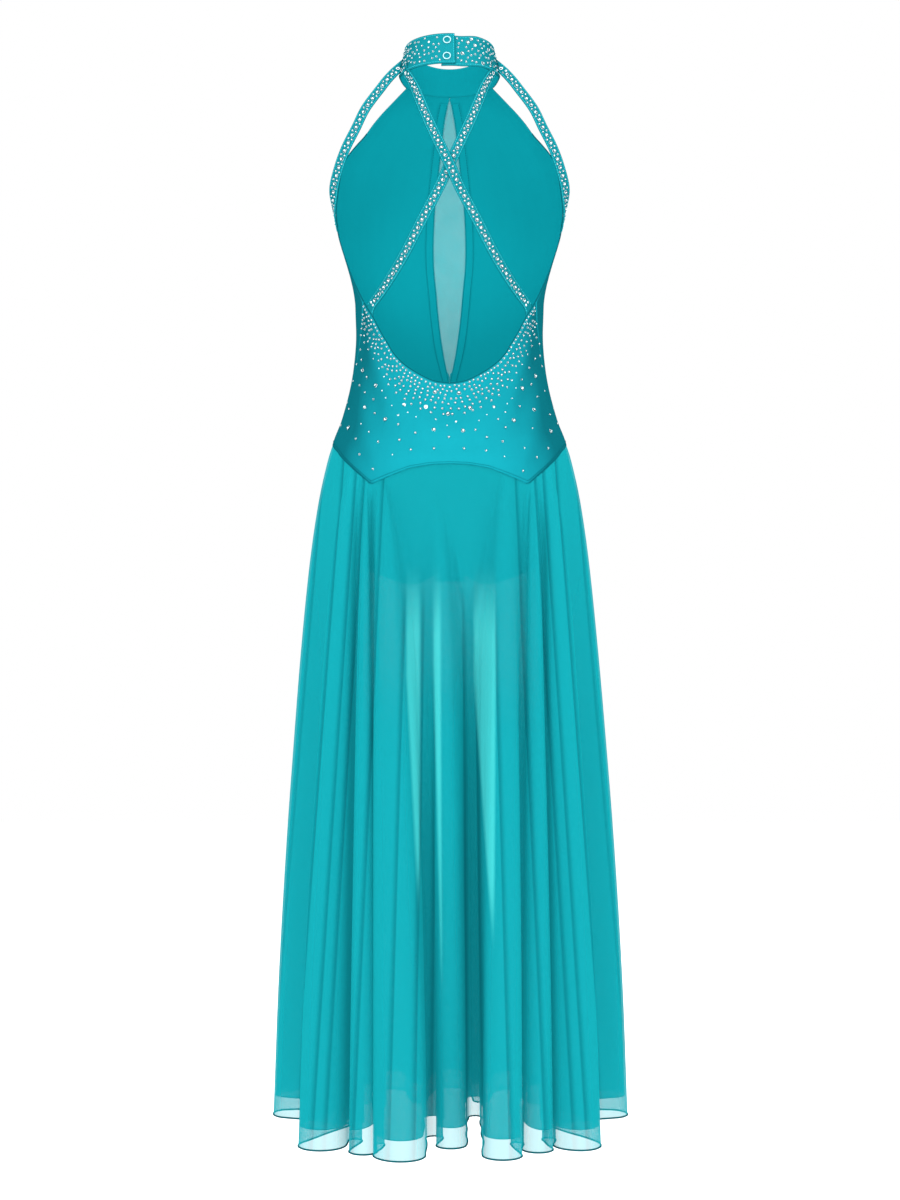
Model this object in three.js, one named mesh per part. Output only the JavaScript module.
// A lyrical dance dress, filled out as it is worn: a halter bodice on a neckband, crossed straps over an open back,
// a low back yoke, fitted briefs and a long skirt of two layers of chiffon that falls in deep flutes.
// The part is in millimetres with +Z up. The back of the dress faces -Y, the front +Y, and the origin is the middle
// of the neckband, where the neck that holds the dress up stands.
import * as THREE from "three";

// Driving dimensions
const SATIN = 1.6; // thickness of the bodice, yoke and briefs cloth
const CHIFFON = 1.0; // thickness of one skirt layer
const TRIM = 1.8; // thickness of a folded strap or band
const SEAM = 0.3; // gap between two pieces that are sewn together
const STRAP_WIDTH = 13;
const SHOULDER_WIDTH = 12;
const LIFT = TRIM + 0.9; // how far the upper strap rises where it crosses the other
const SQUARENESS = 2.3; // power of the figure's rounded section, 2 is an ellipse
const HEM_Z = -1284;
const SHORTER_BY = 24; // the under layer of the skirt ends this much higher
const LAYER_STEP = 1.9; // from the outer face of one skirt layer to that of the next
const BRIEFS_STEP = 3.9; // from the outer face of the skirt at its seam to that of the briefs
const OVER_DROP = 0.3; // how far below the yoke's edge each skirt layer starts
const UNDER_DROP = 1.6;

// The neckband is an oval ring that leans forwards, flares downwards and laps at the centre back. Its upper edge dips
// at the centre front, its lower edge rises at the sides, and the ends of the lap drop a little.
const NECKBAND = { half: 58, deep: 59.5, tall: 39.5, tilt: 8.5, flare: 0.19, dip: 6, rise: 4.5, drop: 2.2 };
const LAP = { left: -186.4, right: 189.6 };
const SNAP = { outer: 5.1, inner: 3.3, high: 1.1, turn: -177, ups: [10.6, -10.6] };

// The general figure that the cut gives: half width, and depth in front and at the back, at each height.
const FIGURE = [
  { z: -16, half: 60, front: 59, back: 62 },
  { z: -26, half: 66, front: 59, back: 66 },
  { z: -36, half: 82, front: 61, back: 71 },
  { z: -54, half: 104, front: 67, back: 80 },
  { z: -78, half: 125, front: 79, back: 89 },
  { z: -106, half: 138, front: 93, back: 97 },
  { z: -128, half: 140, front: 101, back: 100 },
  { z: -150, half: 140.5, front: 106, back: 101 },
  { z: -185, half: 138.5, front: 108, back: 99 },
  { z: -211, half: 134.5, front: 104, back: 96 },
  { z: -260, half: 120, front: 93, back: 89 },
  { z: -292, half: 114.5, front: 88, back: 85 },
  { z: -333, half: 113.3, front: 86, back: 84 },
  { z: -382, half: 118, front: 88, back: 88 },
  { z: -431, half: 131, front: 94, back: 103 },
  { z: -460, half: 142, front: 98, back: 113 },
  { z: -512, half: 153, front: 102, back: 122 },
];

// Soft fullness over the bust, from the cut of the two front panels.
const BUST = { turn: 33, spread: 21, z: -172, tall: 46, out: 9 };

// Armhole edge of a front panel, as a turn from the centre front. Below it the side seam runs on to the hip seam.
const ARMHOLE = [
  { z: -23, turn: 60 },
  { z: -36, turn: 53 },
  { z: -66, turn: 53.5 },
  { z: -78, turn: 54.6 },
  { z: -90, turn: 59 },
  { z: -106, turn: 65.4 },
  { z: -128, turn: 72 },
  { z: -150, turn: 77 },
  { z: -170, turn: 83 },
  { z: -190, turn: 88 },
  { z: -211, turn: 90.5 },
  { z: -235, turn: 92.5 },
  { z: -250, turn: 96 },
  { z: -270, turn: 106 },
  { z: -292, turn: 117.5 },
];
const SIDE_SEAM = { turn: 90, z: -460 }; // where the side seam meets the hip seam

// Half width of the leaf shaped mesh insert down the centre front.
const INSERT = [
  { z: -34, half: 1.6 },
  { z: -60, half: 7 },
  { z: -86, half: 10.1 },
  { z: -111, half: 13.2 },
  { z: -135, half: 16 },
  { z: -159, half: 18.5 },
  { z: -200, half: 20.4 },
  { z: -235, half: 20.1 },
  { z: -269, half: 17 },
  { z: -292, half: 15 },
  { z: -320, half: 11.8 },
  { z: -348, half: 7.4 },
  { z: -376, half: 1.6 },
];

// The seam where the skirt hangs, from the centre front round the side to the centre back.
const HIP_SEAM = [
  { turn: 0, z: -478 },
  { turn: 45, z: -473 },
  { turn: 75, z: -464 },
  { turn: 90, z: -460 },
  { turn: 100.6, z: -464 },
  { turn: 112.7, z: -471 },
  { turn: 128.4, z: -488 },
  { turn: 137.8, z: -500 },
  { turn: 145.8, z: -511.7 },
  { turn: 154.4, z: -503 },
  { turn: 164.6, z: -493 },
  { turn: 173.6, z: -488.8 },
  { turn: 180, z: -488 },
];
const CORNER_TURN = 145.8;

// The back yoke, column by column from its side seam to the centre back: the turn and height of its scooped upper
// edge, and the turn at which the column meets the hip seam.
const YOKE = [
  { top: 117.5, topZ: -292, bottom: 90 },
  { top: 122.6, topZ: -301, bottom: 100.6 },
  { top: 128.3, topZ: -311, bottom: 112.7 },
  { top: 136.5, topZ: -330, bottom: 128.4 },
  { top: 142.4, topZ: -343, bottom: 137.8 },
  { top: 147.8, topZ: -355.8, bottom: 145.8 },
  { top: 155.9, topZ: -369.3, bottom: 154.4 },
  { top: 166.8, topZ: -382.5, bottom: 164.6 },
  { top: 173.5, topZ: -389, bottom: 173.6 },
  { top: 180, topZ: -391.6, bottom: 180 },
];

// Middle of the crossed strap that runs from the upper left to the lower right.
const CROSS_STRAP = [
  { x: -52.9, y: -33.5, z: -14.5 },
  { x: -43.2, y: -54, z: -34.1 },
  { x: -34.5, y: -71, z: -56.7 },
  { x: -25.8, y: -84, z: -79.1 },
  { x: -16.2, y: -94, z: -101.1 },
  { x: -6.5, y: -99.5, z: -122.4 },
  { x: 0, y: -101, z: -136 },
  { x: 12.4, y: -101.5, z: -162.9 },
  { x: 33.6, y: -97, z: -202.2 },
  { x: 54.3, y: -86, z: -240.5 },
  { x: 77.3, y: -68, z: -275.3 },
  { x: 97.6, y: -49, z: -300.5 },
];

// Middle of the left shoulder strap, from the neckband over the shoulder to the side of the bodice.
const SHOULDER_STRAP = [
  { x: -61.3, y: -15, z: -6 },
  { x: -73.2, y: -26, z: -20.6 },
  { x: -82.7, y: -32, z: -33.8 },
  { x: -100.5, y: -41, z: -59.6 },
  { x: -112.3, y: -46, z: -84.5 },
  { x: -124.3, y: -47, z: -108.6 },
  { x: -133.3, y: -42, z: -132.2 },
  { x: -139.7, y: -31, z: -156 },
  { x: -140.3, y: -17, z: -181 },
  { x: -136.8, y: -1, z: -200 },
];
const SHOULDER_GAP = 0.1; // degrees between the armhole edge and the end of the strap that is sewn to it
const SHOULDER_CORE = new THREE.Vector3(-64, 91, -60); // the strap lies round this point of the shoulder

// The hem in plan. It runs like a belt round a row of rollers, outside those of the flutes and inside those of the
// valleys, from the left side round the back to the right side and along the front. Turn is where a flute or valley
// hangs from the hip seam, and start is the share of the skirt's length above which it has not opened yet.
const HEM = [
  { kind: "flute", x: -197, y: 18, r: 22, turn: 270, start: 0 },
  { kind: "valley", x: -128, y: -40, r: 9, turn: 248, start: 0.12 },
  { kind: "flute", x: -149, y: -140, r: 28, turn: 230, start: 0 },
  { kind: "valley", x: -112, y: -120, r: 8, turn: 221, start: 0.02 },
  { kind: "flute", x: -101, y: -172, r: 16, turn: 217.5, start: 0 },
  { kind: "valley", x: -82, y: -138, r: 7, turn: 214.2, start: 0 },
  { kind: "flute", x: -58, y: -190, r: 30, turn: 208, start: 0 },
  { kind: "valley", x: -18, y: -108, r: 9, turn: 195, start: 0.12 },
  { kind: "flute", x: 2, y: -142, r: 17, turn: 184, start: 0.05 },
  { kind: "valley", x: 31, y: -2, r: 8, turn: 174, start: 0.2 },
  { kind: "flute", x: 60, y: -190, r: 22, turn: 158, start: 0 },
  { kind: "valley", x: 80, y: -135, r: 7, turn: 145.8, start: 0 },
  { kind: "flute", x: 101, y: -160, r: 18, turn: 142, start: 0 },
  { kind: "valley", x: 116, y: -114, r: 8, turn: 138, start: 0.02 },
  { kind: "flute", x: 149, y: -140, r: 28, turn: 129, start: 0 },
  { kind: "valley", x: 128, y: -40, r: 9, turn: 112, start: 0.12 },
  { kind: "flute", x: 197, y: 18, r: 22, turn: 90, start: 0 },
  { kind: "valley", x: 140, y: 50, r: 9, turn: 75, start: 0.1 },
  { kind: "flute", x: 150, y: 106, r: 24, turn: 60, start: 0 },
  { kind: "valley", x: 108, y: 84, r: 9, turn: 46, start: 0.1 },
  { kind: "flute", x: 78, y: 134, r: 23, turn: 31, start: 0 },
  { kind: "valley", x: 40, y: 90, r: 9, turn: 16, start: 0.1 },
  { kind: "flute", x: 0, y: 144, r: 22, turn: 0, start: 0 },
  { kind: "valley", x: -40, y: 90, r: 9, turn: -16, start: 0.1 },
  { kind: "flute", x: -78, y: 134, r: 23, turn: -31, start: 0 },
  { kind: "valley", x: -108, y: 84, r: 9, turn: -46, start: 0.1 },
  { kind: "flute", x: -150, y: 106, r: 24, turn: -60, start: 0 },
  { kind: "valley", x: -140, y: 50, r: 9, turn: -75, start: 0.1 },
];
const FLUTE_STEPS = 4;
const VALLEY_STEPS = 4;
const SKIRT_ROWS = [0, 0.06, 0.16, 0.32, 0.53, 0.76, 1];

// The panels of each skirt layer, by the roller where each one begins.
const SKIRT_PANELS = [
  { panel: "left", turn: 270 },
  { panel: "left_back", turn: 248 },
  { panel: "back_left", turn: 360 - CORNER_TURN },
  { panel: "back_right", turn: 174 },
  { panel: "right_back", turn: CORNER_TURN },
  { panel: "right", turn: 112 },
  { panel: "front_right", turn: 90 },
  { panel: "front", turn: 46 },
  { panel: "front_left", turn: -46 },
];

// How far the skirt has opened, from 0 at the seam to 1 at the hem, at each share of its length.
const OPENING = [
  { down: 0, out: 0 },
  { down: 0.023, out: 0.08 },
  { down: 0.0825, out: 0.225 },
  { down: 0.17, out: 0.365 },
  { down: 0.29, out: 0.5 },
  { down: 0.44, out: 0.64 },
  { down: 0.6, out: 0.775 },
  { down: 0.8, out: 0.91 },
  { down: 1, out: 1 },
];

// Lower edge of the briefs from the centre out to the side, the oval of the leg line and the strip between the legs.
const LEG_LINE = [
  { x: 0, z: -617 },
  { x: 19, z: -619 },
  { x: 34, z: -628 },
  { x: 52, z: -629 },
  { x: 76, z: -622 },
  { x: 100, z: -613 },
  { x: 124, z: -602 },
];
const LEG_OVAL = { half: 124, front: 78, back: 102 };
const GUSSET = { half: 18, drop: 10 };

// Colours of the cloths
const satin = { color: 0x12a9b8, roughness: 0.42, metalness: 0 };
const lining = { color: 0x0b9ca9, roughness: 0.6, metalness: 0 };
const mesh = { color: 0x7fcbd2, roughness: 0.8, metalness: 0 };
const chiffon = { color: 0x2cbcc6, roughness: 0.75, metalness: 0 };
const metal = { color: 0xd8e4ea, roughness: 0.2, metalness: 1 };

const dress = new THREE.Group();
dress.name = "lyrical_dance_dress";

// Tables
// A smooth reading of one column of a table between its rows.
function read(table, key, at, column) {
  const last = table.length - 1;
  const way = Math.sign(table[last][key] - table[0][key]);
  if ((at - table[0][key]) * way <= 0) return table[0][column];
  if ((at - table[last][key]) * way >= 0) return table[last][column];
  let i = 0;
  while ((at - table[i + 1][key]) * way > 0) i += 1;
  const slope = (k) => {
    const a = table[Math.max(k - 1, 0)];
    const b = table[Math.min(k + 1, last)];
    return (b[column] - a[column]) / (b[key] - a[key]);
  };
  const [from, to] = [table[i], table[i + 1]];
  const span = to[key] - from[key];
  const t = (at - from[key]) / span;
  const rise = to[column] - from[column];
  const [m0, m1] = [slope(i) * span, slope(i + 1) * span];
  return from[column] + t * (m0 + t * (3 * rise - 2 * m0 - m1 + t * (m0 + m1 - 2 * rise)));
}

// The straight reading, for an edge with a corner in it.
function readStraight(table, key, at, column) {
  const last = table.length - 1;
  const way = Math.sign(table[last][key] - table[0][key]);
  let i = 0;
  while (i < last - 1 && (at - table[i + 1][key]) * way > 0) i += 1;
  const t = THREE.MathUtils.clamp((at - table[i][key]) / (table[i + 1][key] - table[i][key]), 0, 1);
  return THREE.MathUtils.lerp(table[i][column], table[i + 1][column], t);
}

const rad = THREE.MathUtils.degToRad;
const power = (value) => Math.sign(value) * Math.abs(value) ** (2 / SQUARENESS);

// The figure's surface: turn is 0 at the centre front, 90 at the right side and 180 at the centre back.
function onFigure(turn, z) {
  const across = power(Math.sin(rad(turn)));
  const ahead = power(Math.cos(rad(turn)));
  const deep = read(FIGURE, "z", z, ahead > 0 ? "front" : "back");
  const off = (Math.abs(turn) - BUST.turn) / BUST.spread;
  const up = (z - BUST.z) / BUST.tall;
  const bust = ahead > 0 ? BUST.out * Math.exp(-off * off - up * up) : 0;
  return new THREE.Vector3(read(FIGURE, "z", z, "half") * across, deep * ahead + bust, z);
}

function figureNormal(turn, z) {
  const side = onFigure(turn + 1, z).sub(onFigure(turn - 1, z));
  const down = onFigure(turn, z - 2).sub(onFigure(turn, z + 2));
  const normal = side.cross(down).normalize();
  const radial = onFigure(turn, z).setZ(0);
  return normal.dot(radial) < 0 ? normal.negate() : normal;
}

// The turn at which the figure's front or back is as far from the centre as x.
function turnAt(x, z) {
  const share = Math.min(Math.abs(x) / read(FIGURE, "z", z, "half"), 1);
  return THREE.MathUtils.radToDeg(Math.asin(share ** (SQUARENESS / 2))) * Math.sign(x);
}

const seamZ = (turn) => readStraight(HIP_SEAM, "turn", Math.min(Math.abs(turn), 360 - Math.abs(turn)), "z");

// Walls
// A closed solid between an outer and an inner grid of points. The grids are rows of Vector3 of the same size, and
// ring says that each row closes on itself.
function addWall(name, outer, inner, look, ring = false) {
  const [rows, columns] = [outer.length, outer[0].length];
  const points = [...outer.flat(), ...inner.flat()];
  const at = (layer, i, j) => layer * rows * columns + i * columns + (j % columns);
  const faces = [];
  const quad = (a, b, c, d) => faces.push(a, b, c, a, c, d);
  const across = ring ? columns : columns - 1;
  for (let i = 0; i < rows - 1; i += 1) {
    for (let j = 0; j < across; j += 1) {
      quad(at(0, i, j), at(0, i + 1, j), at(0, i + 1, j + 1), at(0, i, j + 1));
      quad(at(1, i, j), at(1, i, j + 1), at(1, i + 1, j + 1), at(1, i + 1, j));
    }
  }
  for (let j = 0; j < across; j += 1) {
    quad(at(0, 0, j), at(0, 0, j + 1), at(1, 0, j + 1), at(1, 0, j));
    quad(at(0, rows - 1, j), at(1, rows - 1, j), at(1, rows - 1, j + 1), at(0, rows - 1, j + 1));
  }
  for (let i = 0; i < rows - 1 && !ring; i += 1) {
    quad(at(0, i, 0), at(1, i, 0), at(1, i + 1, 0), at(0, i + 1, 0));
    quad(at(0, i, across), at(0, i + 1, across), at(1, i + 1, across), at(1, i, across));
  }
  let volume = 0;
  for (let f = 0; f < faces.length; f += 3) {
    const [a, b, c] = [points[faces[f]], points[faces[f + 1]], points[faces[f + 2]]];
    volume += a.dot(b.clone().cross(c));
  }
  const geometry = new THREE.BufferGeometry().setFromPoints(points);
  geometry.setIndex(volume < 0 ? faces.reverse() : faces);
  geometry.computeVertexNormals();
  const solid = new THREE.Mesh(geometry, new THREE.MeshStandardMaterial(look));
  solid.name = name;
  dress.add(solid);
}

// Moves the edges of a grid in along the cloth, by half a seam each.
function trimEdges(grid) {
  const pull = (edge, next) => edge.addScaledVector(next.clone().sub(edge).normalize(), SEAM / 2);
  const last = grid.length - 1;
  const end = grid[0].length - 1;
  for (const row of grid) {
    pull(row[0], row[1]);
    pull(row[end], row[end - 1]);
  }
  grid[0].forEach((point, j) => pull(point, grid[1][j]));
  grid[last].forEach((point, j) => pull(point, grid[last - 1][j]));
}

// A wall on the figure, from a grid of turns and heights.
function addFigureWall(name, places, thick, look, sunk = 0) {
  const outer = places.map((row) =>
    row.map(({ turn, z }) => onFigure(turn, z).addScaledVector(figureNormal(turn, z), -sunk)),
  );
  trimEdges(outer);
  const inner = outer.map((row, i) =>
    row.map((point, j) => point.clone().addScaledVector(figureNormal(places[i][j].turn, places[i][j].z), -thick)),
  );
  addWall(name, outer, inner, look);
}

const steps = (count) => Array.from({ length: count + 1 }, (_, i) => i / count);
const lerp = THREE.MathUtils.lerp;

// Neckband
// A point of the band: turn round the neck, up along its height, out from its outer face.
function onNeckband(turn, up, out = 0) {
  const lap = THREE.MathUtils.smoothstep(turn, 140, 168);
  const away = out - NECKBAND.flare * up - lap * (TRIM + 0.6);
  const x = (NECKBAND.half + away) * Math.sin(rad(turn));
  const y = (NECKBAND.deep + away) * Math.cos(rad(turn));
  const front = Math.abs(turn) < 75 ? Math.cos(1.2 * rad(turn)) ** 2 : 0;
  const dip = front * NECKBAND.dip * (0.5 + up / NECKBAND.tall);
  const side = Math.exp(-(((Math.abs(turn) - 82) / 16) ** 2));
  const rise = side * NECKBAND.rise * (0.5 - up / NECKBAND.tall);
  return new THREE.Vector3(x, y, up - dip + rise - lap * NECKBAND.drop).applyAxisAngle(
    new THREE.Vector3(1, 0, 0),
    rad(-NECKBAND.tilt),
  );
}

function addNeckband() {
  const turns = steps(54).map((t) => lerp(LAP.left, LAP.right, t));
  const ups = [NECKBAND.tall / 2, 0, -NECKBAND.tall / 2];
  const face = (out) => ups.map((up) => turns.map((turn) => onNeckband(turn, up, out)));
  addWall("neckband", face(0), face(-TRIM), satin);
}

// The two ring snaps that fasten the lap show as open rings of metal.
function addSnap(name, up) {
  const profile = [
    [SNAP.inner, 0],
    [SNAP.outer, 0],
    [SNAP.outer, SNAP.high * 0.6],
    [SNAP.outer - 0.6, SNAP.high],
    [SNAP.inner + 0.6, SNAP.high],
    [SNAP.inner, SNAP.high * 0.6],
    [SNAP.inner, 0],
  ].map(([r, h]) => new THREE.Vector2(r, h));
  const ring = new THREE.Mesh(new THREE.LatheGeometry(profile, 16), new THREE.MeshStandardMaterial(metal));
  const foot = onNeckband(SNAP.turn, up, SEAM + 0.25);
  const across = onNeckband(SNAP.turn + 1, up).sub(onNeckband(SNAP.turn - 1, up));
  const rise = onNeckband(SNAP.turn, up + 1).sub(onNeckband(SNAP.turn, up - 1));
  const out = rise.cross(across).normalize();
  ring.position.copy(foot);
  ring.quaternion.setFromUnitVectors(new THREE.Vector3(0, 1, 0), out);
  ring.name = name;
  dress.add(ring);
}

// Bodice front
const FRONT_ROWS = [...INSERT.map((row) => row.z), -404, -432]; // the side seam has the same rows on the yoke

const edgeTurn = (z) => {
  const low = ARMHOLE[ARMHOLE.length - 1];
  if (z > low.z) return read(ARMHOLE, "z", z, "turn");
  return THREE.MathUtils.mapLinear(z, low.z, SIDE_SEAM.z, low.turn, SIDE_SEAM.turn);
};

const insertTurn = (z) => {
  const [top, low] = [INSERT[0].z, INSERT[INSERT.length - 1].z];
  const inside = z <= top && z >= low;
  return turnAt(inside ? read(INSERT, "z", z, "half") : 0.01, z);
};

function addFrontPanel(name, side) {
  const across = steps(8);
  const underBand = across.map((u) => {
    const turn = side * lerp(0.01, 60, u);
    return onNeckband(turn, -NECKBAND.tall / 2 - SEAM);
  });
  const rows = FRONT_ROWS.map((z) =>
    across.map((u) => ({ turn: side * lerp(insertTurn(z), edgeTurn(z), u), z })),
  );
  const seam = across.map((u) => ({ turn: side * lerp(0.01, 90, u) })).map(({ turn }) => ({ turn, z: seamZ(turn) }));
  const places = [...rows, seam];
  const outer = [underBand, ...places.map((row) => row.map(({ turn, z }) => onFigure(turn, z)))];
  const bandOut = across.map((u) => {
    const turn = side * lerp(0.01, 60, u);
    return onNeckband(turn, 0, 1).sub(onNeckband(turn, 0, 0)).normalize();
  });
  const normals = [bandOut, ...places.map((row) => row.map(({ turn, z }) => figureNormal(turn, z)))];
  trimEdges(outer);
  const inner = outer.map((row, i) => row.map((p, j) => p.clone().addScaledVector(normals[i][j], -SATIN)));
  addWall(name, outer, inner, satin);
}

function addInsert() {
  const places = INSERT.map(({ z }) => [-1, -0.33, 0.33, 1].map((u) => ({ turn: u * insertTurn(z), z })));
  addFigureWall("front_insert", places, CHIFFON, mesh);
}

// Back yoke
function addYoke() {
  const right = YOKE.map(({ top, topZ, bottom }) => ({ top, topZ, bottom }));
  const left = right.slice(0, -1).reverse();
  const columns = [...right, ...left.map(({ top, topZ, bottom }) => ({ top: 360 - top, topZ, bottom: 360 - bottom }))];
  const places = steps(6).map((v) =>
    columns.map(({ top, topZ, bottom }) => ({ turn: lerp(top, bottom, v), z: lerp(topZ, seamZ(bottom), v) })),
  );
  addFigureWall("back_yoke", places, SATIN, satin);
}

// Straps
// A flat strap along a middle line. out gives its facing, lift how far it rises, and the two end rows may be given.
function addRibbon(name, middle, width, { out, lift = () => 0, first, last, count = 22 }) {
  const curve = new THREE.CatmullRomCurve3(middle.map(({ x, y, z }) => new THREE.Vector3(x, y, z)));
  const face = [];
  const facing = [];
  for (const t of steps(count)) {
    const point = curve.getPointAt(t);
    const along = curve.getTangentAt(t);
    const normal = out(point);
    normal.addScaledVector(along, -normal.dot(along)).normalize();
    const across = along.clone().cross(normal).normalize();
    point.addScaledVector(normal, lift(point));
    face.push([-0.5, 0.5].map((s) => point.clone().addScaledVector(across, s * width)));
    facing.push([normal, normal]);
  }
  if (first) face[0] = first;
  if (last) face[count] = last;
  const inner = face.map((row, i) => row.map((p, j) => p.clone().addScaledVector(facing[i][j], -TRIM)));
  addWall(name, face, inner, satin);
}

const mirrorRow = ({ x, ...rest }) => ({ x: -x, ...rest });
const mirrorPoint = (point) => new THREE.Vector3(-point.x, point.y, point.z);

// The back's outward direction at a point of a crossed strap.
const backOut = (point) => {
  const half = read(FIGURE, "z", point.z, "half");
  const back = read(FIGURE, "z", point.z, "back");
  return new THREE.Vector3(point.x / half ** 2, point.y / back ** 2, 0).normalize();
};

function addCrossStraps() {
  const down = SEAM + 0.1;
  const underBand = (turn) => onNeckband(turn, -NECKBAND.tall / 2 - down);
  const onYokeEdge = (turn) => {
    const z = read(YOKE, "top", turn, "topZ");
    return onFigure(turn, z).add(new THREE.Vector3(-0.5, 0, 0.6));
  };
  const first = [underBand(-125), underBand(-110.5)];
  const last = [onYokeEdge(121), onYokeEdge(128.6)];
  const crossing = new THREE.Vector3(0, -101, -136);
  const rise = (point) => LIFT * (1 - THREE.MathUtils.smoothstep(point.distanceTo(crossing), 15, 32));
  addRibbon("cross_strap_over", CROSS_STRAP, STRAP_WIDTH, { out: backOut, lift: rise, first, last });
  addRibbon("cross_strap_under", CROSS_STRAP.map(mirrorRow), STRAP_WIDTH, {
    out: backOut,
    first: first.map(mirrorPoint).reverse(),
    last: last.map(mirrorPoint).reverse(),
  });
}

function addShoulderStrap(name, side) {
  const middle = side < 0 ? SHOULDER_STRAP : SHOULDER_STRAP.map(mirrorRow);
  const core = side < 0 ? SHOULDER_CORE : mirrorPoint(SHOULDER_CORE);
  const out = (point) => {
    const free = point.clone().sub(core).normalize();
    return free.lerp(backOut(point), THREE.MathUtils.smoothstep(-point.z, 150, 185));
  };
  const onEdge = (z) => onFigure(-read(ARMHOLE, "z", z, "turn") - SHOULDER_GAP, z);
  const ends = {
    first: [onNeckband(-101, -11, 0.6), onNeckband(-104, 2, 0.6)],
    last: [onEdge(-206), onEdge(-194)],
  };
  const [first, last] = [ends.first, ends.last].map((row) => (side < 0 ? row : row.map(mirrorPoint).reverse()));
  addRibbon(name, middle, SHOULDER_WIDTH, { out, first, last });
}

// Skirt
// The belt round the rollers, as points with the turn and start that each hangs from.
function hemLine() {
  const count = HEM.length;
  const spin = (roller) => (roller.kind === "flute" ? 1 : -1);
  const runs = HEM.map((a, i) => {
    const b = HEM[(i + 1) % count];
    const between = new THREE.Vector2(b.x - a.x, b.y - a.y);
    const k = spin(a) * a.r - spin(b) * b.r;
    const length = Math.sqrt(between.lengthSq() - k * k);
    return between.angle() + Math.atan2(k, length);
  });
  const points = [];
  HEM.forEach((roller, i) => {
    const way = spin(roller);
    const enter = runs[(i + count - 1) % count];
    let bend = (runs[i] - enter) * way;
    while (bend < 0) bend += 2 * Math.PI;
    while (bend >= 2 * Math.PI) bend -= 2 * Math.PI;
    const pieces = roller.kind === "flute" ? FLUTE_STEPS : VALLEY_STEPS;
    for (const t of steps(pieces)) {
      const heading = enter + way * bend * t;
      const x = roller.x + way * roller.r * Math.sin(heading);
      const y = roller.y - way * roller.r * Math.cos(heading);
      points.push({ x, y, roller: i, middle: t === 0.5 });
    }
  });
  return points;
}

// Spreads the turns and starts of the table along the belt, by length between the middles of the rollers.
function hangLine() {
  const line = hemLine();
  const count = line.length;
  const middles = line.flatMap((p, i) => (p.middle ? [i] : []));
  middles.forEach((from, m) => {
    const to = m + 1 < middles.length ? middles[m + 1] : middles[0] + count;
    const a = HEM[m];
    const b = HEM[(m + 1) % HEM.length];
    const lengths = [0];
    for (let i = from; i < to; i += 1) {
      const [p, q] = [line[i % count], line[(i + 1) % count]];
      lengths.push(lengths[lengths.length - 1] + Math.hypot(q.x - p.x, q.y - p.y));
    }
    const whole = lengths[lengths.length - 1];
    const fall = b.turn > a.turn ? b.turn - 360 : b.turn;
    for (let i = from; i < to; i += 1) {
      const t = lengths[i - from] / whole;
      const point = line[i % count];
      point.turn = lerp(a.turn, fall, t);
      point.start = lerp(a.start, b.start, t);
      if (point.middle) point.roller = m;
    }
  });
  return line;
}

// The skirt's outer face as full rings of points, row by row from the hip seam to the hem.
function skirtRings(line, drop) {
  return SKIRT_ROWS.map((share) =>
    line.map(({ x, y, turn, start }) => {
      const top = onFigure(turn, seamZ(turn));
      const out = read(OPENING, "down", (share - start) / (1 - start), "out");
      const z = lerp(top.z - drop, HEM_Z, share);
      return new THREE.Vector3(lerp(top.x, x, out), lerp(top.y, y, out), z);
    }),
  );
}

// The way out of the cloth at each point of the rings, longer where the wall bends so that it keeps its thickness.
function ringNormals(rings) {
  const count = rings[0].length;
  return rings.map((row, i) =>
    row.map((point, j) => {
      const before = point.clone().sub(row[(j + count - 1) % count]).normalize();
      const after = row[(j + 1) % count].clone().sub(point).normalize();
      const bend = Math.max(Math.sqrt((1 + before.dot(after)) / 2), 0.7);
      const down = rings[Math.min(i + 1, rings.length - 1)][j].clone().sub(rings[Math.max(i - 1, 0)][j]);
      return down.cross(before.add(after)).normalize().divideScalar(bend);
    }),
  );
}

// One layer, cut into panels. A shorter one ends on the straight run between the last two rows of rings.
function addSkirtLayer(layer, { sunk, drop, shorter }) {
  const line = hangLine();
  const rings = skirtRings(line, drop);
  const normals = ringNormals(rings);
  const last = rings.length - 1;
  if (shorter) {
    const bay = rings[last - 1][0].z - rings[last][0].z;
    for (const rows of [rings, normals]) {
      rows[last] = rows[last].map((point, j) => point.clone().lerp(rows[last - 1][j], shorter / bay));
    }
  }
  const count = line.length;
  const middleOf = (roller) => line.findIndex((p) => p.middle && p.roller === roller);
  const rollerAt = (turn) => HEM.findIndex((row) => row.turn === turn);
  for (const [i, { panel, turn }] of SKIRT_PANELS.entries()) {
    const from = middleOf(rollerAt(turn));
    const next = SKIRT_PANELS[i + 1];
    const to = next ? middleOf(rollerAt(next.turn)) : middleOf(rollerAt(SKIRT_PANELS[0].turn)) + count;
    const pick = (rows) => rows.map((row) => Array.from({ length: to - from + 1 }, (_, k) => row[(from + k) % count]));
    const normal = pick(normals);
    const outer = pick(rings).map((row, i) => row.map((p, j) => p.clone().addScaledVector(normal[i][j], -sunk)));
    trimEdges(outer);
    const inner = outer.map((row, i) => row.map((p, j) => p.clone().addScaledVector(normal[i][j], -CHIFFON)));
    addWall(`skirt_${layer}_${panel}`, outer, inner, chiffon);
  }
}

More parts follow.
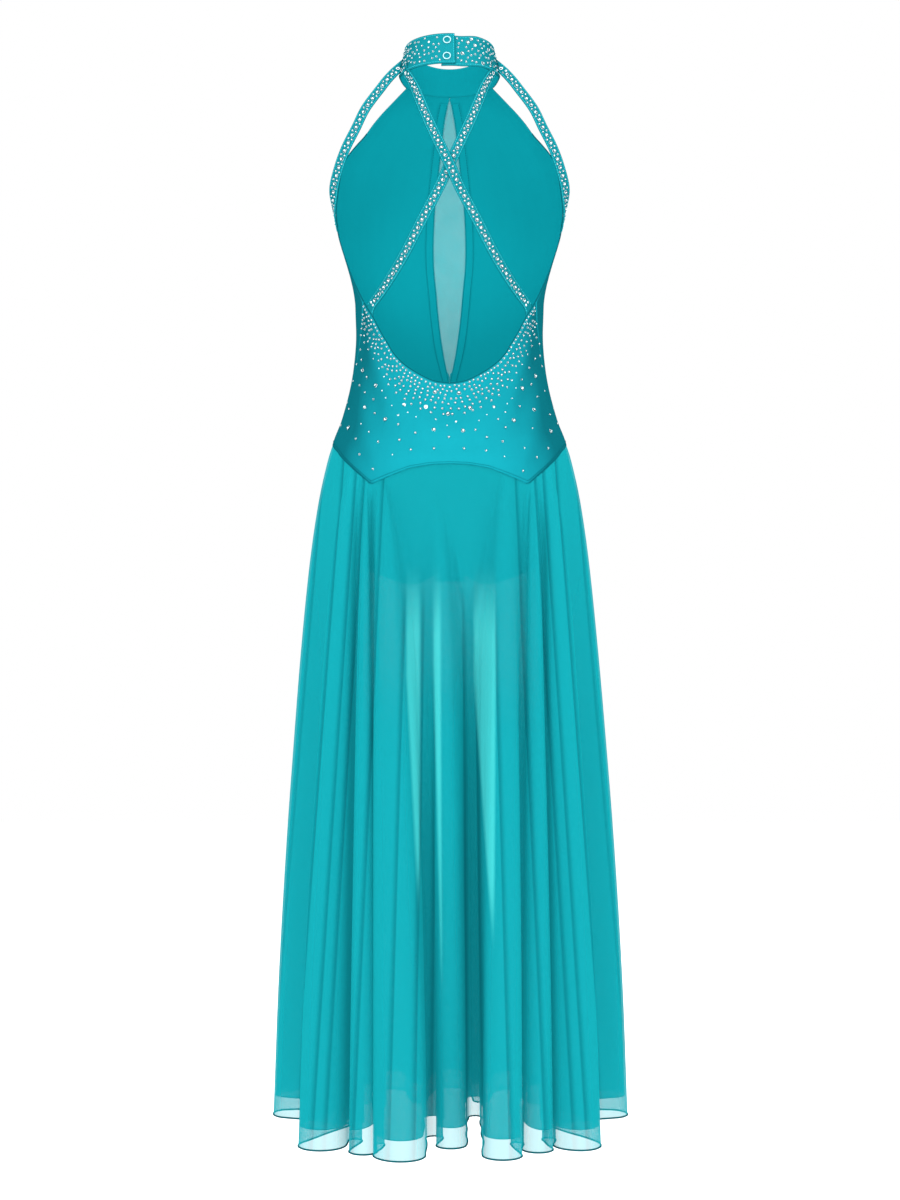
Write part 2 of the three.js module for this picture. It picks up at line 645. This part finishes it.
// Briefs
// A point of the briefs: turn round the figure, down from 0 at the hip seam to 1 at the leg line.
function onBriefs(turn, down, sunk) {
  const top = onFigure(turn, seamZ(turn));
  const out = figureNormal(turn, seamZ(turn)).setZ(0).normalize();
  const across = power(Math.sin(rad(turn)));
  const ahead = power(Math.cos(rad(turn)));
  const low = new THREE.Vector3(LEG_OVAL.half * across, (ahead > 0 ? LEG_OVAL.front : LEG_OVAL.back) * ahead, 0);
  low.z = read(LEG_LINE, "x", Math.abs(low.x), "z");
  const point = top.clone().lerp(low, down ** 1.6);
  point.z = lerp(top.z - UNDER_DROP, low.z, down);
  return point.addScaledVector(out, -sunk);
}

function addBriefs() {
  for (const [name, middle] of [["briefs_back", 180], ["briefs_front", 0]]) {
    const turns = steps(16).map((t) => middle + lerp(-90, 90, t));
    const face = (sunk) => steps(5).map((down) => turns.map((turn) => onBriefs(turn, down, sunk)));
    const [outer, inner] = [face(BRIEFS_STEP), face(BRIEFS_STEP + SATIN)];
    trimEdges(outer);
    trimEdges(inner);
    addWall(name, outer, inner, lining);
  }
}

// The strip between the legs, from the back of the briefs under to the front.
function addGusset() {
  const [back, front] = [onBriefs(180, 1, BRIEFS_STEP), onBriefs(0, 1, BRIEFS_STEP)];
  const path = steps(10).map((t) => {
    const low = back.z - 2 * SEAM - GUSSET.drop * Math.sin(Math.PI * t) ** 0.8;
    return new THREE.Vector3(0, lerp(back.y, front.y, t), low);
  });
  const normals = path.map((_, i) => {
    const along = path[Math.min(i + 1, path.length - 1)].clone().sub(path[Math.max(i - 1, 0)]);
    return along.cross(new THREE.Vector3(-1, 0, 0)).normalize();
  });
  normals[0].set(0, -1, 0);
  normals[normals.length - 1].set(0, 1, 0);
  const face = (sunk) =>
    path.map((point, i) =>
      [-GUSSET.half, 0, GUSSET.half].map((x) => point.clone().addScaledVector(normals[i], -sunk).setX(x)),
    );
  addWall("briefs_gusset", face(0), face(SATIN), lining);
}

addNeckband();
SNAP.ups.forEach((up, i) => addSnap(i === 0 ? "snap_upper" : "snap_lower", up));
addFrontPanel("front_left", -1);
addFrontPanel("front_right", 1);
addInsert();
addYoke();
addCrossStraps();
addShoulderStrap("shoulder_strap_left", -1);
addShoulderStrap("shoulder_strap_right", 1);
addSkirtLayer("over", { sunk: 0, drop: OVER_DROP, shorter: 0 });
addSkirtLayer("under", { sunk: LAYER_STEP, drop: UNDER_DROP, shorter: SHORTER_BY });
addBriefs();
addGusset();

export default dress;
